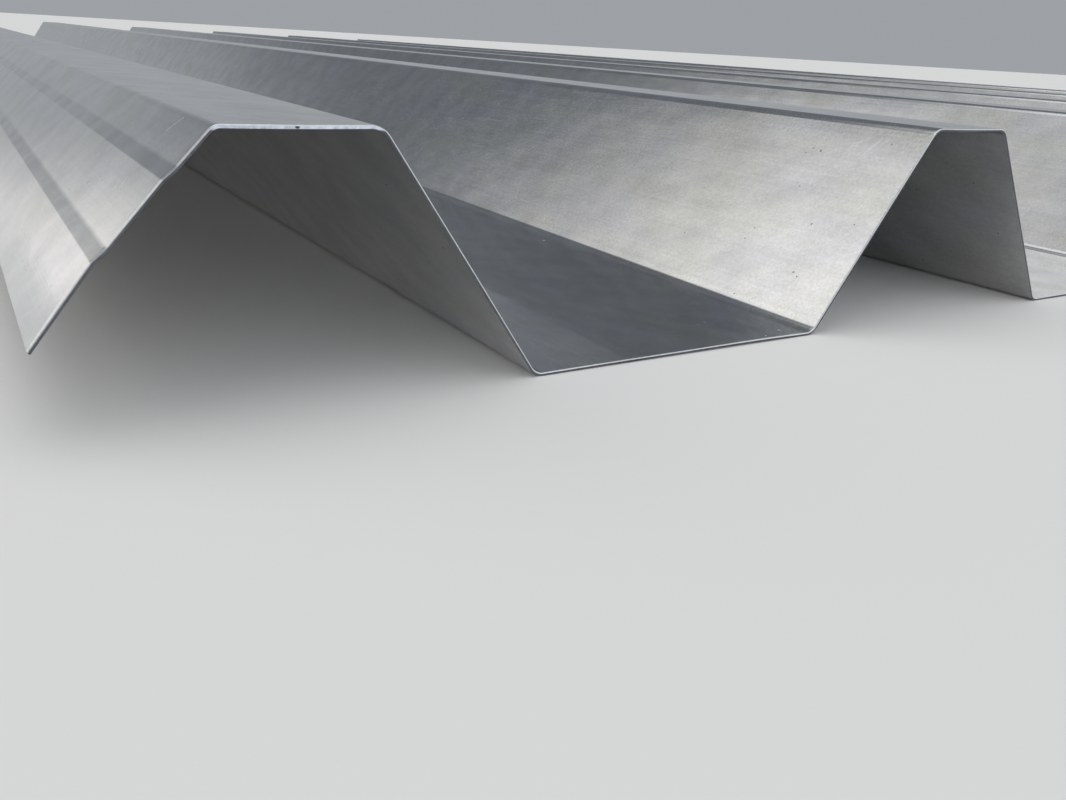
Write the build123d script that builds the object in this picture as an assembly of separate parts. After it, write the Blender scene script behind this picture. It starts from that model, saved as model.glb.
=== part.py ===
from build123d import *
from math import sqrt
import os

# Sizes in millimetres. The section is drawn across X, the length runs along Y.
LENGTH = 2500.0
THICKNESS = 0.8
PITCH = 200.0
COVER_RIBS = 5
RIB_HEIGHT = 56.0
CREST_FLAT = 32.0
VALLEY_FLAT = 92.0
WEB_RUN = (PITCH - CREST_FLAT - VALLEY_FLAT) / 2
FOLD_RADIUS = 3.5

# Open leg of the side-lap rib on the left long edge, as runs and drops from its
# crest corner: two narrow creases stiffen it, and it ends in a bare edge. Each
# crease has a soft root and a crisp nose.
LAP_LEG = [(6.9, 7.3), (9.4, 9.4), (19.6, 20.9), (22.2, 23.1), (33.8, 38.0)]
LAP_CREST_RADIUS = 1.8
CREASE_ROOT_RADIUS = 6.0
CREASE_NOSE_RADIUS = 1.0

# Short plain leg of the rib on the right long edge, which goes under the next sheet.
UNDERLAP_DROP = 28.0
UNDERLAP_RUN = UNDERLAP_DROP * WEB_RUN / RIB_HEIGHT

LEFT_EDGE = -LAP_LEG[-1][0]
RIGHT_EDGE = COVER_RIBS * PITCH + CREST_FLAT + UNDERLAP_RUN
CENTRE = (LEFT_EDGE + RIGHT_EDGE) / 2
CREST_LEVEL = RIB_HEIGHT + THICKNESS
VALLEY_LEVEL = THICKNESS


def upper_line():
    """Corners of the upper face across the sheet, with the inside radius of each fold."""
    corners = [(-run, CREST_LEVEL - drop) for run, drop in reversed(LAP_LEG)]
    radii = [0.0] + [CREASE_NOSE_RADIUS, CREASE_ROOT_RADIUS] * (len(LAP_LEG) // 2)
    for rib in range(COVER_RIBS + 1):
        left = rib * PITCH
        corners.append((left, CREST_LEVEL))
        radii.append(LAP_CREST_RADIUS if rib == 0 else FOLD_RADIUS)
        corners.append((left + CREST_FLAT, CREST_LEVEL))
        radii.append(FOLD_RADIUS)
        if rib < COVER_RIBS:
            foot = left + CREST_FLAT + WEB_RUN
            corners.append((foot, VALLEY_LEVEL))
            radii.append(FOLD_RADIUS)
            corners.append((foot + VALLEY_FLAT, VALLEY_LEVEL))
            radii.append(FOLD_RADIUS)
    corners.append((RIGHT_EDGE, CREST_LEVEL - UNDERLAP_DROP))
    radii.append(0.0)
    return [(x - CENTRE, z) for x, z in corners], radii


def unit(start, end):
    length = sqrt((end[0] - start[0]) ** 2 + (end[1] - start[1]) ** 2)
    return ((end[0] - start[0]) / length, (end[1] - start[1]) / length)


def lower_line(corners):
    """The same corners moved square to the sheet by its thickness."""
    moved = []
    last = len(corners) - 1
    for i, corner in enumerate(corners):
        before = unit(corners[max(i - 1, 0)], corners[max(i - 1, 0) + 1])
        after = unit(corners[min(i, last - 1)], corners[min(i, last - 1) + 1])
        normal = (before[1] + after[1], -before[0] - after[0])
        stretch = 2.0 / (normal[0] ** 2 + normal[1] ** 2)
        moved.append((corner[0] + normal[0] * stretch * THICKNESS,
                      corner[1] + normal[1] * stretch * THICKNESS))
    return moved


def turn(before, corner, after):
    """Sine of the turn at a corner, positive where the line turns up."""
    u = unit(before, corner)
    v = unit(corner, after)
    return u[0] * v[1] - u[1] * v[0]


def folded(corners, radii):
    """Edges of a line of straight runs joined by tangent arcs."""
    edges = []
    start = corners[0]
    for i in range(1, len(corners) - 1):
        corner = corners[i]
        back = unit(corner, corners[i - 1])
        ahead = unit(corner, corners[i + 1])
        bisector = unit((0.0, 0.0), (back[0] + ahead[0], back[1] + ahead[1]))
        half_cos = back[0] * bisector[0] + back[1] * bisector[1]
        half_sin = sqrt(1.0 - half_cos ** 2)
        setback = radii[i] * half_cos / half_sin
        reach = radii[i] / half_sin - radii[i]
        arc_start = (corner[0] + back[0] * setback, corner[1] + back[1] * setback)
        arc_mid = (corner[0] + bisector[0] * reach, corner[1] + bisector[1] * reach)
        arc_end = (corner[0] + ahead[0] * setback, corner[1] + ahead[1] * setback)
        edges.append(Line(start, arc_start))
        edges.append(ThreePointArc(arc_start, arc_mid, arc_end))
        start = arc_end
    edges.append(Line(start, corners[-1]))
    return edges


# Each fold keeps the stated radius on its inside face and the thickness more outside.
upper, inside_radii = upper_line()
lower = lower_line(upper)
upper_radii = list(inside_radii)
lower_radii = list(inside_radii)
for i in range(1, len(upper) - 1):
    if turn(upper[i - 1], upper[i], upper[i + 1]) > 0:
        lower_radii[i] += THICKNESS
    else:
        upper_radii[i] += THICKNESS

outline = folded(upper, upper_radii)
outline += folded(lower, lower_radii)
outline.append(Line(upper[0], lower[0]))
outline.append(Line(upper[-1], lower[-1]))
section = make_face(Curve() + outline)

# The section stands across the sheet and is drawn out along its length.
standing = Plane(origin=(0, LENGTH / 2, 0), x_dir=(1, 0, 0), z_dir=(0, -1, 0))
profiled_sheet = extrude(standing * section, amount=LENGTH)

os.makedirs("parts", exist_ok=True)
export_step(profiled_sheet, "parts/profiled_sheet.step")
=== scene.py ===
import math

import bmesh
import bpy
from mathutils import Matrix, Vector


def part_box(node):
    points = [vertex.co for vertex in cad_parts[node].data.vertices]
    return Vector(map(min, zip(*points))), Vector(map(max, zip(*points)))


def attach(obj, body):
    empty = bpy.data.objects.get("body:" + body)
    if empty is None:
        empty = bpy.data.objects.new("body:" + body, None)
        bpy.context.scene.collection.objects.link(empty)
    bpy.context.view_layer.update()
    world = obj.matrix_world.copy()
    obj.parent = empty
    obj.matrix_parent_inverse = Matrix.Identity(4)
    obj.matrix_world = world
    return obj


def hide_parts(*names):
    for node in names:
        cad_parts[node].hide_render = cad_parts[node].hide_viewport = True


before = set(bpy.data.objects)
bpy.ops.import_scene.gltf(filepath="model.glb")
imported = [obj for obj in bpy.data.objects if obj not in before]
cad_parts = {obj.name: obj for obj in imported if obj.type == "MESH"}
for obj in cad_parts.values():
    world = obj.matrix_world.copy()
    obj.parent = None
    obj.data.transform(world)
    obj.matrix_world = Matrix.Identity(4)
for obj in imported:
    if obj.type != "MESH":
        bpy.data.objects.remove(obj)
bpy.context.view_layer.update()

# The profiled sheet
# One strip of galvanised steel, 0.8 mm thick, roll-formed into six trapezoidal ribs and
# sheared to length. It is drawn out fold by fold from the flat top of the lap rib on the
# left edge, its folds are rounded to their bend radii, and then it gets its thickness.
MM = 0.001
SHEET_LOW, SHEET_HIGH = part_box("profiled_sheet")
THICKNESS = 0.8 * MM
PITCH = 200.0 * MM
CREST_FLAT = 32.0 * MM
VALLEY_FLAT = 92.0 * MM
WEB_RUN = (PITCH - CREST_FLAT - VALLEY_FLAT) / 2
WEB_DROP = SHEET_HIGH.z - SHEET_LOW.z - THICKNESS
PITCHES = 5
UNDERLAP_DROP = 28.0 * MM
UNDERLAP_RUN = UNDERLAP_DROP * WEB_RUN / WEB_DROP

# Open leg of the lap rib, down from its crest corner, as (run, drop) in millimetres:
# flat, crease, flat, crease, flat.
LAP_LEG = [(6.9, 7.3), (2.5, 2.1), (10.2, 11.5), (2.6, 2.2), (11.6, 14.9)]
LAP_LEG_STEPS = [(run * MM, drop * MM) for run, drop in LAP_LEG]
LAP_LEG_RUN = sum(run for run, drop in LAP_LEG_STEPS)

# Radii of the folds as they are on the upper face, which is the one drawn out
FOLD_INSIDE_RADIUS = 3.5 * MM
FOLD_OUTSIDE_RADIUS = FOLD_INSIDE_RADIUS + THICKNESS
LAP_CREST_RADIUS = 1.8 * MM + THICKNESS
CREASE_ROOT_RADIUS = 6.0 * MM
CREASE_NOSE_RADIUS = 1.0 * MM + THICKNESS

# Faces round a fold, which has more of them where it turns by over half a radian, strips on
# each flat, rows along the length and extra ones near the ends
SHARP_TURN = 0.5
SHARP_FOLD_FACES = 5
SOFT_FOLD_FACES = 3
CREST_STRIPS = 5
WEB_STRIPS = 7
VALLEY_STRIPS = 10
ROWS = 84
END_ROWS = [1.5 * MM, 4 * MM, 8 * MM, 14 * MM, 22 * MM, 45 * MM, 75 * MM]
NEAR = 0.02 * MM


def deselect_everything():
    if bpy.context.object and bpy.context.object.mode == "EDIT":
        bpy.ops.object.mode_set(mode="OBJECT")
    bpy.ops.object.select_all(action="DESELECT")


def pick_edges(wanted):
    """In edit mode, selects only the edges whose two ends pass."""
    mesh = bmesh.from_edit_mesh(bpy.context.object.data)
    bpy.ops.mesh.select_mode(type="EDGE")
    bpy.ops.mesh.select_all(action="DESELECT")
    for edge in mesh.edges:
        edge.select_set(wanted(edge.verts[0].co, edge.verts[1].co))
    mesh.select_flush_mode()
    bmesh.update_edit_mesh(bpy.context.object.data)


def pick_lengthwise(corner):
    """Selects the edge line that runs along the sheet through one corner of the section."""
    def on_corner(p, q):
        return all(abs(v.x - corner[0]) < NEAR and abs(v.z - corner[1]) < NEAR for v in (p, q))
    pick_edges(on_corner)


def draw_out(corner, run, rise):
    """Draws the edge line at a corner out into the next flat, and returns the new corner."""
    pick_lengthwise(corner)
    bpy.ops.mesh.extrude_region_move(TRANSFORM_OT_translate={"value": (run, 0.0, rise)})
    return (corner[0] + run, corner[1] + rise)


def lay_lap_crest():
    """The flat top of the lap rib, over the whole length."""
    left = SHEET_LOW.x + LAP_LEG_RUN
    deselect_everything()
    bpy.ops.mesh.primitive_grid_add(x_subdivisions=1, y_subdivisions=ROWS, size=1.0)
    strip = bpy.context.object
    strip.name = "corrugated_sheet"
    strip.data.name = "corrugated_sheet"
    bpy.ops.object.mode_set(mode="EDIT")
    bpy.ops.mesh.select_all(action="SELECT")
    bpy.ops.transform.resize(value=(CREST_FLAT, SHEET_HIGH.y - SHEET_LOW.y - NEAR, 1.0))
    bpy.ops.transform.translate(value=(left + CREST_FLAT / 2, 0.0, SHEET_HIGH.z))
    return strip, (left, SHEET_HIGH.z), (left + CREST_FLAT, SHEET_HIGH.z)


def round_folds(folds, radius):
    """Rounds lengthwise folds of one kind, each given as (corner, turn in radians)."""
    for corner, turn in folds:
        faces = SHARP_FOLD_FACES if turn > SHARP_TURN else SOFT_FOLD_FACES
        pick_lengthwise(corner)
        bpy.ops.mesh.bevel(offset_type="OFFSET", offset=radius * math.tan(turn / 2),
                           segments=faces, profile=0.5, affect="EDGES")


def split_flat(low, high, strips):
    """Divides a flat between two lengthwise lines into narrower strips."""
    def across(p, q):
        inside = all(low - NEAR < v.x < high + NEAR for v in (p, q))
        return inside and abs(p.x - q.x) > 0.5 * (high - low) and abs(p.y - q.y) < NEAR
    pick_edges(across)
    bpy.ops.mesh.subdivide(number_cuts=strips - 1)


sheet, lap_left, lap_right = lay_lap_crest()

crest_folds = [lap_right]
valley_folds = []
corner = lap_right
for pitch in range(PITCHES):
    corner = draw_out(corner, WEB_RUN, -WEB_DROP)
    valley_folds.append(corner)
    corner = draw_out(corner, VALLEY_FLAT, 0.0)
    valley_folds.append(corner)
    corner = draw_out(corner, WEB_RUN, WEB_DROP)
    crest_folds.append(corner)
    corner = draw_out(corner, CREST_FLAT, 0.0)
    crest_folds.append(corner)
draw_out(corner, UNDERLAP_RUN, -UNDERLAP_DROP)

leg_corners = [lap_left]
for run, drop in LAP_LEG_STEPS:
    leg_corners.append(draw_out(leg_corners[-1], -run, -drop))

web_angle = math.atan2(WEB_DROP, WEB_RUN)
leg_angles = [0.0] + [math.atan2(drop, run) for run, drop in LAP_LEG_STEPS]
round_folds([(c, web_angle) for c in crest_folds], FOLD_OUTSIDE_RADIUS)
round_folds([(c, web_angle) for c in valley_folds], FOLD_INSIDE_RADIUS)
round_folds([(lap_left, leg_angles[1])], LAP_CREST_RADIUS)
for place in range(1, len(LAP_LEG_STEPS)):
    turn = leg_angles[place + 1] - leg_angles[place]
    radius = CREASE_NOSE_RADIUS if turn > 0 else CREASE_ROOT_RADIUS
    round_folds([(leg_corners[place], abs(turn))], radius)

lap_setback = LAP_CREST_RADIUS * math.tan(leg_angles[1] / 2)
crest_setback = FOLD_OUTSIDE_RADIUS * math.tan(web_angle / 2)
valley_setback = FOLD_INSIDE_RADIUS * math.tan(web_angle / 2)
slope = math.cos(web_angle)
for pitch in range(PITCHES + 1):
    left = lap_left[0] + pitch * PITCH
    left_setback = lap_setback if pitch == 0 else crest_setback
    split_flat(left + left_setback, left + CREST_FLAT - crest_setback, CREST_STRIPS)
    if pitch == PITCHES:
        break
    foot = left + CREST_FLAT + WEB_RUN
    rise = foot + VALLEY_FLAT
    split_flat(left + CREST_FLAT + crest_setback * slope, foot - valley_setback * slope, WEB_STRIPS)
    split_flat(foot + valley_setback, rise - valley_setback, VALLEY_STRIPS)
    split_flat(rise + valley_setback * slope, left + PITCH - crest_setback * slope, WEB_STRIPS)

for inset in END_ROWS:
    for y in (SHEET_LOW.y + inset, SHEET_HIGH.y - inset):
        bpy.ops.mesh.select_all(action="SELECT")
        bpy.ops.mesh.bisect(plane_co=(0.0, y, 0.0), plane_no=(0.0, 1.0, 0.0))
deselect_everything()


def unroll(strip):
    """Lays a UV map in metres over the sheet as the flat strip it was rolled from."""
    across = {}
    for vertex in strip.data.vertices:
        across[round(vertex.co.x, 6)] = vertex.co.z
    laid = {}
    reach = 0.0
    last = None
    for x in sorted(across):
        if last is not None:
            reach += math.dist((x, across[x]), (last, across[last]))
        laid[x] = reach
        last = x
    flat = strip.data.uv_layers.active
    flat.name = "strip"
    for loop in strip.data.loops:
        place = strip.data.vertices[loop.vertex_index].co
        flat.data[loop.index].uv = (laid[round(place.x, 6)], place.y)


# Bows of the flats, which are five times as long as they are wide
BOW_WIDTH = 0.07
BOW_STRETCH = 5.0
WIDE_BOW = 0.5 * MM
CREST_BOW = 0.25 * MM
UPWARDS, EITHER_WAY, DOWNWARDS = 0.0, 0.5, 1.0


def spring(strip, name, flats, strength, middle):
    """Bows flats by a fraction of a millimetre, most at mid-width, nothing at their folds."""
    group = strip.vertex_groups.new(name=name)
    for vertex in strip.data.vertices:
        for low, high in flats:
            share = (vertex.co.x - low) / (high - low)
            if 0.0 < share < 1.0:
                group.add([vertex.index], 1.0 - (2.0 * share - 1.0) ** 2, "REPLACE")
    clouds = bpy.data.textures.new(name, "CLOUDS")
    clouds.noise_scale = BOW_WIDTH
    clouds.noise_depth = 1
    bow = strip.modifiers.new(name, "DISPLACE")
    bow.texture = clouds
    bow.texture_coords = "LOCAL"
    bow.vertex_group = name
    bow.strength = strength
    bow.mid_level = middle
    bpy.ops.object.modifier_apply(modifier=name)


def scale_length(factor):
    """Scales the selected sheet along its length, about its middle."""
    bpy.ops.object.mode_set(mode="EDIT")
    bpy.ops.mesh.select_all(action="SELECT")
    bpy.ops.transform.resize(value=(1.0, factor, 1.0), center_override=(0.0, 0.0, 0.0))
    bpy.ops.object.mode_set(mode="OBJECT")


unroll(sheet)
sheet.select_set(True)
bpy.context.view_layer.objects.active = sheet
crests = [(lap_left[0] + i * PITCH, lap_left[0] + i * PITCH + CREST_FLAT) for i in range(PITCHES + 1)]
valleys = [(high + WEB_RUN, high + WEB_RUN + VALLEY_FLAT) for low, high in crests[:-1]]
webs = [(high, high + WEB_RUN) for low, high in crests[:-1]]
webs += [(low - WEB_RUN, low) for low, high in crests[1:]]
scale_length(1.0 / BOW_STRETCH)
spring(sheet, "valley_bow", valleys, WIDE_BOW, UPWARDS)
spring(sheet, "crest_bow", crests, CREST_BOW, DOWNWARDS)
spring(sheet, "web_bow", webs, WIDE_BOW, EITHER_WAY)
scale_length(BOW_STRETCH)


# Zinc on the sheet
# Hot-dip zinc skin with a fine minimised grain, put on the strip before it is rolled. It
# carries faint lengthwise roller marks, cloudy flow, fine scratches, and a few scuff marks that are
# also lightened as painted glints, dark pits and pale flecks. The creases of the lap leg get painted
# shade.
ZINC_COOL = (0.625, 0.63, 0.655, 1.0)
ZINC_WARM = (0.635, 0.645, 0.625, 1.0)
FLECK_WHITE = (0.95, 0.96, 0.97, 1.0)


def place_node(tree, kind, settings, inputs):
    """Adds one node, with its settings, and its inputs as links or plain values."""
    node = tree.nodes.new(kind)
    for name, value in settings.items():
        setattr(node, name, value)
    for name, value in inputs.items():
        if isinstance(value, bpy.types.NodeSocket):
            tree.links.new(value, node.inputs[name])
        else:
            node.inputs[name].default_value = value
    return node


def sum_up(tree, operation, first, second, third=0.0):
    """Works out one sum of a material or of the light."""
    node = place_node(tree, "ShaderNodeMath", {"operation": operation}, {0: first, 1: second, 2: third})
    return node.outputs[0]


def grade(tree, value, low, high, to_low, to_high):
    """Maps a value that runs from low to high on to another span, held at its ends."""
    node = place_node(tree, "ShaderNodeMapRange", {}, {
        "Value": value, "From Min": low, "From Max": high, "To Min": to_low, "To Max": to_high})
    return node.outputs["Result"]


def strip_place(tree, across, along, turn=0.0):
    """A place on the flat strip, counted in grains of one size, turned by some degrees."""
    flat = place_node(tree, "ShaderNodeUVMap", {"uv_map": "strip"}, {})
    laid = place_node(tree, "ShaderNodeMapping", {"vector_type": "TEXTURE"}, {
        "Vector": flat.outputs["UV"], "Scale": (across, along, 1.0),
        "Rotation": (0.0, 0.0, math.radians(turn))})
    return laid.outputs["Vector"]


def flow(tree, across, along, detail=2.0, turn=0.0):
    """Soft random patches of one size, from 0 to 1 with most near a half."""
    node = place_node(tree, "ShaderNodeTexNoise", {"noise_dimensions": "2D"}, {
        "Vector": strip_place(tree, across, along, turn), "Scale": 1.0, "Detail": detail})
    return node.outputs["Fac"]


def hair_scratches(tree, turn, across, along, patch, depth):
    """Thin sparse lines at one slant, only inside scattered patches, as a mask."""
    lines = grade(tree, flow(tree, across, along, 1.0, turn), 0.66, 0.74, 0.0, 1.0)
    where = grade(tree, flow(tree, patch, patch * 1.6, 1.0, turn), 0.5, 0.64, 0.0, depth)
    return sum_up(tree, "MULTIPLY", lines, where)


def spot_mask(tree, spots):
    """Small round spots on the flat strip, as (across, from the near end, radius), as a mask."""
    flat = place_node(tree, "ShaderNodeUVMap", {"uv_map": "strip"}, {}).outputs["UV"]
    mask = 0.0
    for across, inset, radius in spots:
        away = place_node(tree, "ShaderNodeVectorMath", {"operation": "DISTANCE"}, {
            0: flat, 1: (across * MM, SHEET_LOW.y + inset * MM, 0.0)})
        dot = grade(tree, away.outputs["Value"], radius * 0.5 * MM, radius * MM, 1.0, 0.0)
        mask = sum_up(tree, "MAXIMUM", mask, dot)
    return mask


# Places across the flat strip, in millimetres from its bare lap edge. A spot is given as
# (across, from the near end, radius), a scuff mark with its painted glint as two places.
LEG_STEPS = [math.hypot(run, drop) for run, drop in LAP_LEG]
CREST_1 = sum(LEG_STEPS)
WEB = math.hypot(WEB_RUN, WEB_DROP) / MM
VALLEY_1 = CREST_1 + CREST_FLAT / MM + WEB
WEB_2 = VALLEY_1 + VALLEY_FLAT / MM
DARK_PITS = [(28, 47, 0.5), (6, 41, 0.45), (WEB_2 + 14, 18, 0.4), (WEB_2 + 13, 16, 0.35),
             (WEB_2 + 30, 22, 0.4), (WEB_2 + 54, 35, 0.5)]
PALE_FLECKS = [(VALLEY_1 + 84, 133, 0.8), (VALLEY_1 + 83, 5, 0.5), (VALLEY_1 + 75, 2, 0.4)]


# The steps of the lap leg that are creases, and how dark the painted shade in them is
CREASES = (1, 3)
CREASE_SHADE_TONE = 0.66


def crease_painted_shade(tree):
    """Painted shade in the two creases of the lap leg, a darker band in the colour, as a factor on the
    tone.
    """
    flat = place_node(tree, "ShaderNodeUVMap", {"uv_map": "strip"}, {})
    across = place_node(tree, "ShaderNodeSeparateXYZ", {}, {0: flat.outputs["UV"]}).outputs["X"]
    painted_shade = 1.0
    for crease in CREASES:
        foot = sum(LEG_STEPS[crease + 1:]) * MM
        top = foot + LEG_STEPS[crease] * MM
        over_foot = grade(tree, across, foot - 0.2 * MM, foot + 0.2 * MM, 0.0, 1.0)
        under_top = grade(tree, across, top, top + 0.8 * MM, 1.0, 0.0)
        inside = sum_up(tree, "MULTIPLY", over_foot, under_top)
        painted_shade = sum_up(tree, "MULTIPLY", painted_shade, grade(tree, inside, 0.0, 1.0, 1.0, CREASE_SHADE_TONE))
    return painted_shade


def scuff_and_glint_mask(tree, scuffs_and_glints):
    """Fine straight scuff marks between pairs of places on the flat strip, as a mask, which also serves
    for their painted glints.
    """
    flat = place_node(tree, "ShaderNodeUVMap", {"uv_map": "strip"}, {}).outputs["UV"]
    mask = 0.0
    for ends in scuffs_and_glints:
        start, end = (Vector((across * MM, SHEET_LOW.y + inset * MM, 0.0)) for across, inset in ends)
        along = end - start
        gone = place_node(tree, "ShaderNodeVectorMath", {"operation": "SUBTRACT"}, {0: flat, 1: start})
        share = place_node(tree, "ShaderNodeVectorMath", {"operation": "DOT_PRODUCT"}, {
            0: gone.outputs["Vector"], 1: along / along.length_squared})
        share = sum_up(tree, "MINIMUM", sum_up(tree, "MAXIMUM", share.outputs["Value"], 0.0), 1.0)
        nearest = place_node(tree, "ShaderNodeVectorMath", {"operation": "SCALE"}, {
            0: along, "Scale": share})
        away = place_node(tree, "ShaderNodeVectorMath", {"operation": "DISTANCE"}, {
            0: gone.outputs["Vector"], 1: nearest.outputs["Vector"]})
        line = grade(tree, away.outputs["Value"], 0.08 * MM, 0.4 * MM, 1.0, 0.0)
        mask = sum_up(tree, "MAXIMUM", mask, line)
    return mask


# Scuff marks on the lap leg, the lap crest and the second web. The colour makes them lighter as a
# painted glint, as of dents catching the light.
SCUFFS_AND_GLINTS = [((CREST_1 - 5, 24), (CREST_1 - 1, 20)), ((CREST_1 - 24, 21), (CREST_1 - 18, 26)),
          ((CREST_1 - 21, 18), (CREST_1 - 17, 22)), ((WEB_2 + 55, 19), (WEB_2 + 61, 16)),
          ((CREST_1 + 13, 35), (CREST_1 + 20, 34)), ((CREST_1 + 8, 65), (CREST_1 + 17, 64))]


def zinc_skin():
    """Bright zinc under a thin clear coat, which the scuff marks break. Their lighter colour is partly a
    painted glint.
    """
    zinc = bpy.data.materials.new("galvanised_steel")
    zinc.use_nodes = True
    tree = zinc.node_tree
    shader = tree.nodes["Principled BSDF"]

    clouds = flow(tree, 0.045, 0.16, 3.0)
    broad = flow(tree, 0.16, 0.5, 2.0)
    roller = flow(tree, 0.0011, 0.22, 2.0)
    mottle = flow(tree, 0.012, 0.02, 3.0, 30.0)
    grain = place_node(tree, "ShaderNodeTexVoronoi", {"voronoi_dimensions": "2D"}, {
        "Vector": strip_place(tree, 0.0006, 0.0007), "Scale": 1.0})
    spangle = place_node(tree, "ShaderNodeSeparateColor", {}, {0: grain.outputs["Color"]})
    left_hair = hair_scratches(tree, 38.0, 0.00016, 0.011, 0.03, 1.0)
    right_hair = hair_scratches(tree, -24.0, 0.00014, 0.016, 0.05, 0.8)
    long_hair = hair_scratches(tree, 3.0, 0.00018, 0.05, 0.07, 0.9)
    scratches = sum_up(tree, "MAXIMUM", left_hair, sum_up(tree, "MAXIMUM", right_hair, long_hair))
    scuffs_and_glints = scuff_and_glint_mask(tree, SCUFFS_AND_GLINTS)
    peppering = place_node(tree, "ShaderNodeTexVoronoi", {"voronoi_dimensions": "2D"}, {
        "Vector": strip_place(tree, 0.022, 0.022), "Scale": 1.0})
    pepper = grade(tree, peppering.outputs["Distance"], 0.008, 0.014, 1.0, 0.0)
    pits = sum_up(tree, "MAXIMUM", pepper, spot_mask(tree, DARK_PITS))
    flecks = spot_mask(tree, PALE_FLECKS)

    tone = sum_up(tree, "MULTIPLY", grade(tree, clouds, 0.3, 0.7, 0.93, 1.05),
                  grade(tree, broad, 0.3, 0.7, 0.95, 1.04))
    tone = sum_up(tree, "MULTIPLY", tone, grade(tree, roller, 0.25, 0.75, 0.965, 1.035))
    tone = sum_up(tree, "MULTIPLY", tone, grade(tree, mottle, 0.3, 0.7, 0.94, 1.055))
    tone = sum_up(tree, "MULTIPLY", tone, grade(tree, spangle.outputs[0], 0.0, 1.0, 0.94, 1.06))
    tone = sum_up(tree, "MULTIPLY", tone, grade(tree, scratches, 0.0, 1.0, 1.0, 1.12))
    # Scuff marks lighten the colour: real wear, with a painted glint on top of it.
    tone = sum_up(tree, "MULTIPLY", tone, grade(tree, scuffs_and_glints, 0.0, 1.0, 1.0, 1.25))
    tone = sum_up(tree, "MULTIPLY", tone, grade(tree, pits, 0.0, 1.0, 1.0, 0.4))
    # Painted shade in the two creases of the lap leg
    tone = sum_up(tree, "MULTIPLY", tone, crease_painted_shade(tree))
    tint = place_node(tree, "ShaderNodeMix", {"data_type": "RGBA"}, {
        0: grade(tree, flow(tree, 0.02, 0.05, 2.0), 0.35, 0.65, 0.0, 1.0),
        6: ZINC_COOL, 7: ZINC_WARM})
    coloured = place_node(tree, "ShaderNodeVectorMath", {"operation": "SCALE"}, {
        0: tint.outputs[2], "Scale": tone})
    flecked = place_node(tree, "ShaderNodeMix", {"data_type": "RGBA"}, {
        0: flecks, 6: coloured.outputs["Vector"], 7: FLECK_WHITE})
    tree.links.new(flecked.outputs[2], shader.inputs["Base Color"])

    gloss = sum_up(tree, "ADD", grade(tree, clouds, 0.3, 0.7, 0.13, 0.09),
                   grade(tree, spangle.outputs[1], 0.0, 1.0, -0.015, 0.015))
    gloss = sum_up(tree, "ADD", gloss, sum_up(tree, "MULTIPLY", scratches, 0.12))
    gloss = sum_up(tree, "ADD", gloss, sum_up(tree, "MULTIPLY", scuffs_and_glints, 0.25))
    spots = sum_up(tree, "MAXIMUM", pits, flecks)
    gloss = sum_up(tree, "ADD", gloss, sum_up(tree, "MULTIPLY", spots, 0.4))
    tree.links.new(gloss, shader.inputs["Roughness"])
    shader.inputs["Metallic"].default_value = 1.0
    sheen = sum_up(tree, "MULTIPLY", grade(tree, scuffs_and_glints, 0.0, 1.0, 1.0, 0.1),
                   grade(tree, mottle, 0.35, 0.65, 0.45, 1.0))
    tree.links.new(sheen, shader.inputs["Coat Weight"])
    shader.inputs["Coat Roughness"].default_value = 0.05

    ripple = place_node(tree, "ShaderNodeBump", {}, {
        "Strength": 1.0, "Distance": 0.00008, "Height": flow(tree, 0.012, 0.03, 1.0)})
    rolled = place_node(tree, "ShaderNodeBump", {}, {
        "Strength": 1.0, "Distance": 0.000006, "Height": roller, "Normal": ripple.outputs[0]})
    grained = place_node(tree, "ShaderNodeBump", {}, {
        "Strength": 1.0, "Distance": 0.00001, "Height": spangle.outputs[2], "Normal": rolled.outputs[0]})
    tree.links.new(grained.outputs[0], shader.inputs["Normal"])
    tree.links.new(rolled.outputs[0], shader.inputs["Coat Normal"])
    return zinc


# Colours of the cut faces. The dull one is real torn steel, made darker still as painted shade. The
# bright one is a painted reflection on the cut face of the lap crest.
CUT_DULL_AND_SHADED = (0.13, 0.135, 0.15, 1.0)
LAP_CUT_PAINTED_GLINT = (0.68, 0.74, 0.84, 1.0)
# A small notch in the cut edge, shown only as a near black spot of painted shade.
NICK_SHADE_FROM_FOLD = 15 * MM
NICK_SHADE_RADIUS = 0.6 * MM


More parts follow.
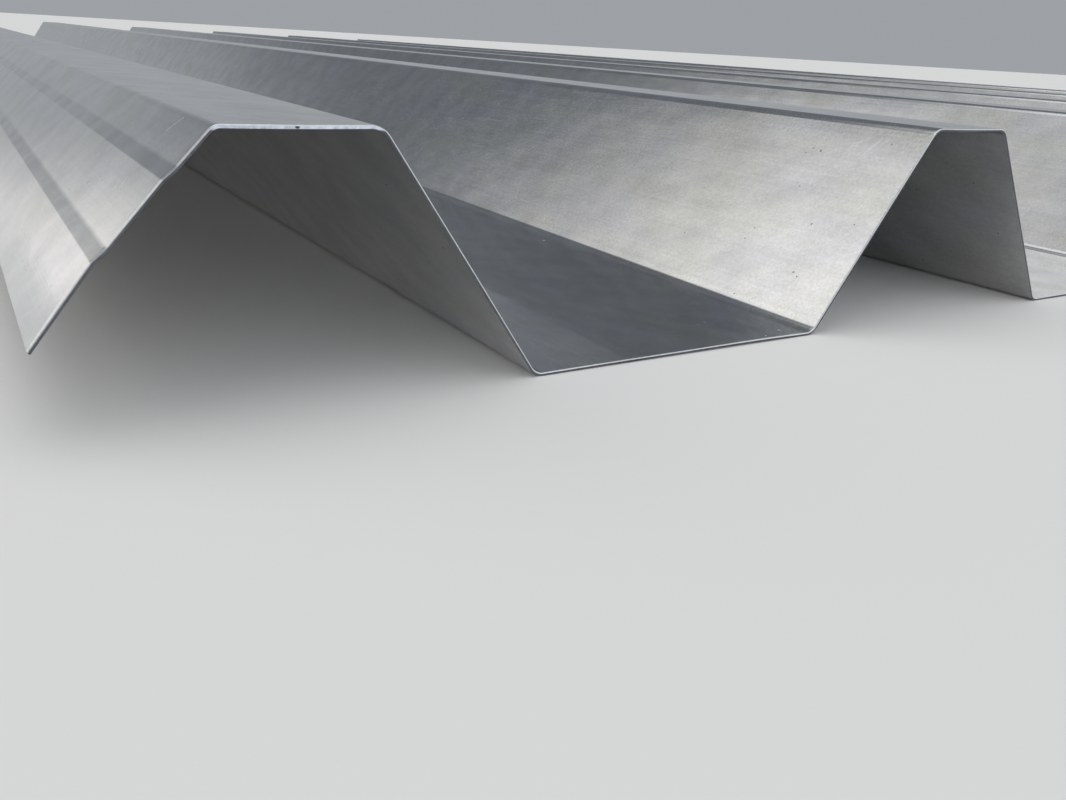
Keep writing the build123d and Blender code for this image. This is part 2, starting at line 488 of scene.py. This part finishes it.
def sheared_steel():
    """Bare steel of the cut faces: torn and dull, their dark tone partly painted shade, with a painted
    bright reflection along the lap crest and painted shade in a small notch.
    """
    cut = bpy.data.materials.new("sheared_edge")
    cut.use_nodes = True
    tree = cut.node_tree
    shader = tree.nodes["Principled BSDF"]
    coords = place_node(tree, "ShaderNodeTexCoord", {}, {}).outputs["Object"]
    torn = place_node(tree, "ShaderNodeTexNoise", {}, {"Vector": coords, "Scale": 900.0, "Detail": 3.0})
    spread = place_node(tree, "ShaderNodeTexNoise", {}, {"Vector": coords, "Scale": 60.0, "Detail": 2.0})
    tone = sum_up(tree, "MULTIPLY", grade(tree, torn.outputs["Fac"], 0.3, 0.7, 0.75, 1.3),
                  grade(tree, spread.outputs["Fac"], 0.3, 0.7, 0.8, 1.2))
    place = place_node(tree, "ShaderNodeSeparateXYZ", {}, {0: coords})
    on_crest = grade(tree, place.outputs["Z"],
                     SHEET_HIGH.z - 1.3 * MM, SHEET_HIGH.z - 0.9 * MM, 0.0, 1.0)
    on_lap = grade(tree, place.outputs["X"],
                   lap_right[0] + 1.0 * MM, lap_right[0] + 3.0 * MM, 1.0, 0.0)
    # Painted reflection: the cut face along the top of the lap crest is made bright.
    lap_crest_glint = place_node(tree, "ShaderNodeMix", {"data_type": "RGBA"}, {
        0: sum_up(tree, "MULTIPLY", on_crest, on_lap), 6: CUT_DULL_AND_SHADED, 7: LAP_CUT_PAINTED_GLINT})
    # Painted shade: the notch in the lap crest's cut face is a near black spot in the colour.
    nick_shade_spot = (lap_left[0] + NICK_SHADE_FROM_FOLD, SHEET_LOW.y, SHEET_HIGH.z - THICKNESS / 2)
    away = place_node(tree, "ShaderNodeVectorMath", {"operation": "DISTANCE"}, {0: coords, 1: nick_shade_spot})
    painted_nick_shade = grade(tree, away.outputs["Value"], NICK_SHADE_RADIUS / 2, NICK_SHADE_RADIUS, 0.05, 1.0)
    tone = sum_up(tree, "MULTIPLY", tone, painted_nick_shade)
    coloured = place_node(tree, "ShaderNodeVectorMath", {"operation": "SCALE"}, {
        0: lap_crest_glint.outputs[2], "Scale": tone})
    tree.links.new(coloured.outputs["Vector"], shader.inputs["Base Color"])
    shader.inputs["Metallic"].default_value = 1.0
    tree.links.new(grade(tree, torn.outputs["Fac"], 0.3, 0.7, 0.35, 0.6), shader.inputs["Roughness"])
    rough = place_node(tree, "ShaderNodeBump", {}, {
        "Strength": 1.0, "Distance": 0.00004, "Height": torn.outputs["Fac"]})
    tree.links.new(rough.outputs[0], shader.inputs["Normal"])
    return cut


sheet.data.materials.append(zinc_skin())
sheet.data.materials.append(sheared_steel())

# Thickness and sheared edges of the sheet
# The strip gets its thickness downwards from its upper face. The shear rolls the upper arris
# of each cut face over into a small round, and the lower arris is only just broken.
ROLLOVER = 0.3 * MM
UNDER_ARRIS = 0.06 * MM
ZINC, CUT = 0, 1
SMOOTH_UP_TO = math.radians(40)


def pick_arris(count, upper):
    """Selects the sharp edges round the sheet, those of the upper face or of the lower."""
    mesh = bmesh.from_edit_mesh(sheet.data)
    bpy.ops.mesh.select_mode(type="EDGE")
    bpy.ops.mesh.select_all(action="DESELECT")
    for edge in mesh.edges:
        on_upper = all(v.index < count for v in edge.verts)
        on_lower = all(v.index >= count for v in edge.verts)
        sides = {face.material_index for face in edge.link_faces}
        edge.select_set(sides == {ZINC, CUT} and (on_upper if upper else on_lower))
    mesh.select_flush_mode()
    bmesh.update_edit_mesh(sheet.data)


upper_count = len(sheet.data.vertices)
wall = sheet.modifiers.new("thickness", "SOLIDIFY")
wall.thickness = THICKNESS
wall.offset = -1.0
wall.use_even_offset = True
wall.material_offset_rim = CUT
bpy.ops.object.modifier_apply(modifier=wall.name)
bpy.ops.object.mode_set(mode="EDIT")
pick_arris(upper_count, upper=False)
bpy.ops.mesh.bevel(offset_type="OFFSET", offset=UNDER_ARRIS, segments=1, affect="EDGES", material=CUT)
pick_arris(upper_count, upper=True)
bpy.ops.mesh.bevel(offset_type="OFFSET", offset=ROLLOVER, segments=3, affect="EDGES", material=ZINC)
bpy.ops.object.mode_set(mode="OBJECT")
bpy.ops.object.shade_smooth_by_angle(angle=SMOOTH_UP_TO)
evened = sheet.modifiers.new("evened_normals", "WEIGHTED_NORMAL")
evened.keep_sharp = True
bpy.ops.object.modifier_apply(modifier=evened.name)

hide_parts("profiled_sheet")
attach(sheet, "root")


# Studio floor
# A plain matt floor in a pale warm grey, which the sheet lies on. It is wide enough that
# none of its corners shows on the horizon.
FLOOR_SIZE = 400.0
FLOOR_GREY = (0.8, 0.8, 0.79, 1.0)
deselect_everything()
bpy.ops.mesh.primitive_plane_add(size=FLOOR_SIZE, location=(0.0, 0.0, 0.0))
floor = bpy.context.object
floor.name = "studio_floor"
floor_paint = bpy.data.materials.new("floor_paint")
floor_paint.use_nodes = True
paint_shader = floor_paint.node_tree.nodes["Principled BSDF"]
paint_shader.inputs["Base Color"].default_value = FLOOR_GREY
paint_shader.inputs["Roughness"].default_value = 0.9
paint_shader.inputs["Specular IOR Level"].default_value = 0.0
floor.data.materials.append(floor_paint)


# Studio light
# A dim grey room with four broad soft panels: a wall of light to the left, a low bank that
# carries it round towards the far end, a cooler fill to the right and round the near end, and
# one overhead.

# Each panel is (middle azimuth, half its width, lowest and highest elevation, soft edge, colour).
# Angles are in degrees. Azimuth 0 is along the sheet to its far end, and 90 is to its right.
# The panel overhead goes all round and over the top.
LEFT_WALL = (-75, 50, -90, 48, 11, (1.2, 1.18, 1.15))
LOW_BANK = (-45, 35, -90, 9, 5, (1.0, 0.98, 0.96))
RIGHT_AND_BACK = (145, 65, -90, 50, 15, (0.92, 0.95, 1.0))
OVERHEAD = (0, 200, 56, 120, 10, (1.3, 1.3, 1.3))
ROOM_LOW = (0.34, 0.355, 0.375)
ROOM_HIGH = (0.165, 0.18, 0.2)
ROOM_TURNS_DARK = (6.0, 20.0)


def light_room():
    """Lays the panels over the room, the same for the camera, the metal and the floor."""
    world = bpy.data.worlds.new("studio")
    world.use_nodes = True
    bpy.context.scene.world = world
    tree = world.node_tree
    towards = place_node(tree, "ShaderNodeTexCoord", {}, {}).outputs["Generated"]
    part = place_node(tree, "ShaderNodeSeparateXYZ", {}, {0: towards})
    round_about = sum_up(tree, "ARCTAN2", part.outputs["X"], part.outputs["Y"])
    azimuth = sum_up(tree, "MULTIPLY", round_about, math.degrees(1.0))
    upwards = sum_up(tree, "ARCSINE", part.outputs["Z"], 0.0)
    elevation = sum_up(tree, "MULTIPLY", upwards, math.degrees(1.0))

    def climb(angle, start, end):
        """0 to 1 as an angle goes from start to end, in degrees, with soft ends."""
        node = place_node(tree, "ShaderNodeMapRange", {"interpolation_type": "SMOOTHSTEP"}, {
            "Value": angle, "From Min": start, "From Max": end})
        return node.outputs["Result"]

    def hang(room, mask, colour):
        """Lays a colour over the room where the mask is 1."""
        node = place_node(tree, "ShaderNodeMix", {"data_type": "RGBA"}, {
            0: mask, 6: room, 7: (*colour, 1.0)})
        return node.outputs[2]

    room = hang((*ROOM_LOW, 1.0), climb(elevation, *ROOM_TURNS_DARK), ROOM_HIGH)
    for middle, reach, low, high, soft, colour in (RIGHT_AND_BACK, LEFT_WALL, LOW_BANK, OVERHEAD):
        off = sum_up(tree, "WRAP", sum_up(tree, "SUBTRACT", azimuth, middle), 180.0, -180.0)
        beside = climb(sum_up(tree, "ABSOLUTE", off, 0.0), reach + soft, reach - soft)
        above = climb(elevation, low - soft, low + soft)
        below = climb(elevation, high + soft, high - soft)
        mask = sum_up(tree, "MULTIPLY", beside, sum_up(tree, "MULTIPLY", above, below))
        room = hang(room, mask, colour)
    tree.links.new(room, tree.nodes["Background"].inputs["Color"])


light_room()


# Camera
# It stands low off the near end, just past the lap edge, turned down and to the right. Its
# place, angles and focal length come from a perspective fit to the near end of the sheet.
PHOTO_WIDTH = 1066
FOCAL_PIXELS = 925
CAMERA_PLACE = (-0.5488, -1.4223, 0.0729)
YAW_PITCH_ROLL = (32.48, 21.05, 3.37)
camera_data = bpy.data.cameras.new("camera")
camera_data.sensor_fit = "HORIZONTAL"
camera_data.sensor_width = 36.0
camera_data.lens = FOCAL_PIXELS / PHOTO_WIDTH * camera_data.sensor_width
camera_data.clip_start = 0.005
camera = bpy.data.objects.new("camera", camera_data)
bpy.context.scene.collection.objects.link(camera)
yaw, pitch, roll = (math.radians(angle) for angle in YAW_PITCH_ROLL)
ahead = Vector((math.sin(yaw) * math.cos(pitch), math.cos(yaw) * math.cos(pitch), -math.sin(pitch)))
level = Vector((math.cos(yaw), -math.sin(yaw), 0.0))
upright = level.cross(ahead)
right = level * math.cos(roll) + upright * math.sin(roll)
up = upright * math.cos(roll) - level * math.sin(roll)
turned = Matrix((right, up, -ahead)).transposed().to_4x4()
camera.matrix_world = Matrix.Translation(CAMERA_PLACE) @ turned
bpy.context.scene.camera = camera
bpy.context.scene.view_settings.view_transform = "Standard"
